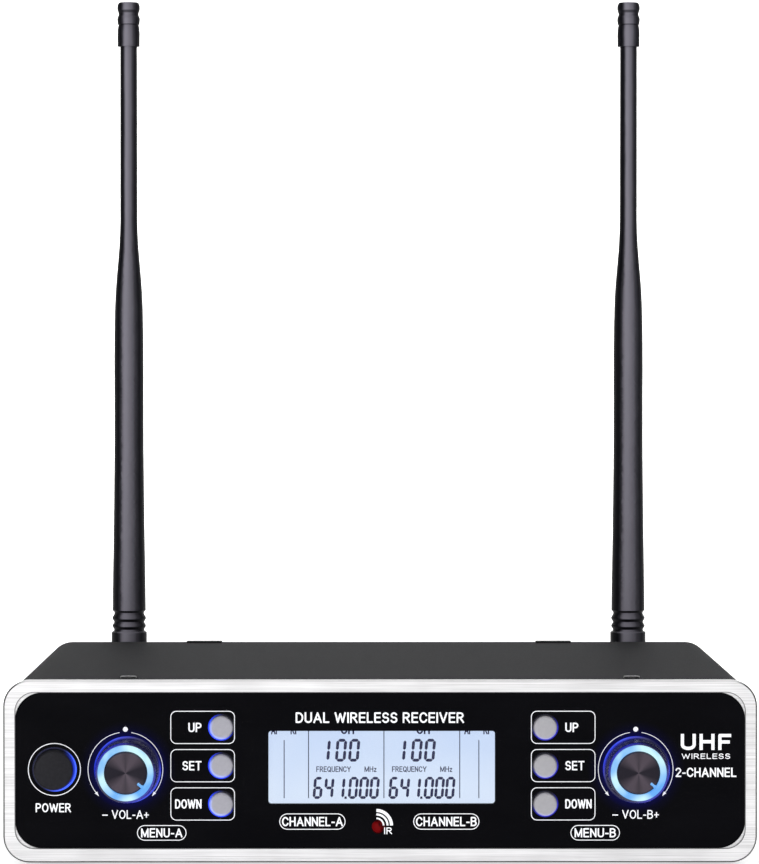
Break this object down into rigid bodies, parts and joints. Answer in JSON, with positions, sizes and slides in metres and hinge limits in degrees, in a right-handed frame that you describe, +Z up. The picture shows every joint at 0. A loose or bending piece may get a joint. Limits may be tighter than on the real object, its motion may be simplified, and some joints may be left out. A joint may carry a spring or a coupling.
{
  "type": "wireless microphone receiver",
  "caption": "Half-rack wireless microphone receiver with backlit display, lit volume knobs, menu and power buttons, and folding whip antennas.",
  "frame": {"origin": "on the standing surface, under the centre of the object's bounding box", "axes": "+X to the right of somebody facing the front panel, +Y from the front to the back, +Z up"},
  "size_m": [0.2006, 0.193, 0.2445],
  "materials": {
    "brushed_aluminium": "brushed",
    "powder_coat": "fine-textured matt",
    "zinc_plated": "satin",
    "black_steel": "matt",
    "black_acrylic": "gloss",
    "clear_acrylic": "gloss",
    "lcd_glass": "gloss",
    "white_plastic": "satin",
    "clear_plastic": "frosted",
    "light_ring": "frosted",
    "button_grey": "satin",
    "dark_plastic": "satin",
    "knob_plastic": "satin",
    "spun_metal": "spun",
    "ir_red": "gloss",
    "rubber": "matt",
    "board_green": "satin",
    "nickel": "bright",
    "gold_contact": "bright"
  },
  "bodies": {
    "receiver": {"front_frame": "brushed_aluminium", "front_panel": "black_acrylic", "display_window": "clear_acrylic", "lcd_glass": "lcd_glass", "lcd_backlight": "white_plastic", "ir_emitter": "ir_red", "menu_light_guides": "clear_plastic", "power_light_ring": "clear_plastic", "knob_light_guides": "clear_plastic", "tact_switches": "dark_plastic", "power_switch": "dark_plastic", "potentiometers": "zinc_plated", "front_board": "board_green", "top_cover": "powder_coat", "bottom_chassis": "zinc_plated", "rear_panel": "powder_coat", "rubber_feet": "rubber", "case_screws": "black_steel", "main_board": "board_green", "board_standoffs": "nickel", "board_screws": "zinc_plated", "tuner_shields": "zinc_plated", "board_components": "dark_plastic", "ribbon_cable": "white_plastic", "antenna_leads": "dark_plastic", "antenna_jacks": "nickel", "panel_nuts": "nickel", "xlr_shells": "zinc_plated", "xlr_inserts": "dark_plastic", "xlr_pins": "gold_contact", "mix_jack": "dark_plastic", "dc_inlet": "dark_plastic"},
    "power_button": {"power_button": "dark_plastic"},
    "up_button_a": {"up_button_a": "button_grey"},
    "set_button_a": {"set_button_a": "button_grey"},
    "down_button_a": {"down_button_a": "button_grey"},
    "up_button_b": {"up_button_b": "button_grey"},
    "set_button_b": {"set_button_b": "button_grey"},
    "down_button_b": {"down_button_b": "button_grey"},
    "knob_a": {"knob_a_skirt": "knob_plastic", "knob_a_light_ring": "light_ring", "knob_a_cap": "spun_metal", "knob_a_shaft": "zinc_plated"},
    "knob_b": {"knob_b_skirt": "knob_plastic", "knob_b_light_ring": "light_ring", "knob_b_cap": "spun_metal", "knob_b_shaft": "zinc_plated"},
    "coupling_nut_left": {"coupling_nut_left": "black_steel"},
    "antenna_base_left": {"antenna_elbow_left": "black_steel", "hinge_pin_left": "black_steel"},
    "antenna_left": {"antenna_collar_left": "dark_plastic", "antenna_whip_left": "dark_plastic", "antenna_tip_left": "dark_plastic"},
    "coupling_nut_right": {"coupling_nut_right": "black_steel"},
    "antenna_base_right": {"antenna_elbow_right": "black_steel", "hinge_pin_right": "black_steel"},
    "antenna_right": {"antenna_collar_right": "dark_plastic", "antenna_whip_right": "dark_plastic", "antenna_tip_right": "dark_plastic"}
  },
  "joints": [
    {"name": "power_press", "type": "slide", "parent": "receiver", "child": "power_button", "axis": [0, 1, 0], "range_m": [0, 0.0015], "stiffness_N_per_m": 900},
    {"name": "up_press_a", "type": "slide", "parent": "receiver", "child": "up_button_a", "axis": [0, 1, 0], "range_m": [0, 0.0006], "stiffness_N_per_m": 1500},
    {"name": "set_press_a", "type": "slide", "parent": "receiver", "child": "set_button_a", "axis": [0, 1, 0], "range_m": [0, 0.0006], "stiffness_N_per_m": 1500},
    {"name": "down_press_a", "type": "slide", "parent": "receiver", "child": "down_button_a", "axis": [0, 1, 0], "range_m": [0, 0.0006], "stiffness_N_per_m": 1500},
    {"name": "up_press_b", "type": "slide", "parent": "receiver", "child": "up_button_b", "axis": [0, 1, 0], "range_m": [0, 0.0006], "stiffness_N_per_m": 1500},
    {"name": "set_press_b", "type": "slide", "parent": "receiver", "child": "set_button_b", "axis": [0, 1, 0], "range_m": [0, 0.0006], "stiffness_N_per_m": 1500},
    {"name": "down_press_b", "type": "slide", "parent": "receiver", "child": "down_button_b", "axis": [0, 1, 0], "range_m": [0, 0.0006], "stiffness_N_per_m": 1500},
    {"name": "volume_a", "type": "hinge", "parent": "receiver", "child": "knob_a", "pos_m": [-0.0672, -0.0861, 0.0264], "axis": [0, 1, 0], "range_deg": [-260, 0]},
    {"name": "volume_b", "type": "hinge", "parent": "receiver", "child": "knob_b", "pos_m": [0.06815, -0.0861, 0.0264], "axis": [0, 1, 0], "range_deg": [-260, 0]},
    {"name": "nut_turn_left", "type": "hinge", "parent": "receiver", "child": "coupling_nut_left", "pos_m": [-0.0765, 0.0691, 0.032], "axis": [0, 1, 0], "range_deg": [0, 90]},
    {"name": "swivel_left", "type": "hinge", "parent": "receiver", "child": "antenna_base_left", "pos_m": [-0.0765, 0.0691, 0.032], "axis": [0, -1, 0], "range_deg": [-20, 90]},
    {"name": "fold_left", "type": "hinge", "parent": "antenna_base_left", "child": "antenna_left", "pos_m": [-0.0765, 0.0911, 0.032], "axis": [-1, 0, 0], "range_deg": [0, 90]},
    {"name": "nut_turn_right", "type": "hinge", "parent": "receiver", "child": "coupling_nut_right", "pos_m": [0.0765, 0.0691, 0.032], "axis": [0, 1, 0], "range_deg": [0, 90]},
    {"name": "swivel_right", "type": "hinge", "parent": "receiver", "child": "antenna_base_right", "pos_m": [0.0765, 0.0691, 0.032], "axis": [0, 1, 0], "range_deg": [-20, 90]},
    {"name": "fold_right", "type": "hinge", "parent": "antenna_base_right", "child": "antenna_right", "pos_m": [0.0765, 0.0911, 0.032], "axis": [-1, 0, 0], "range_deg": [0, 90]}
  ]
}
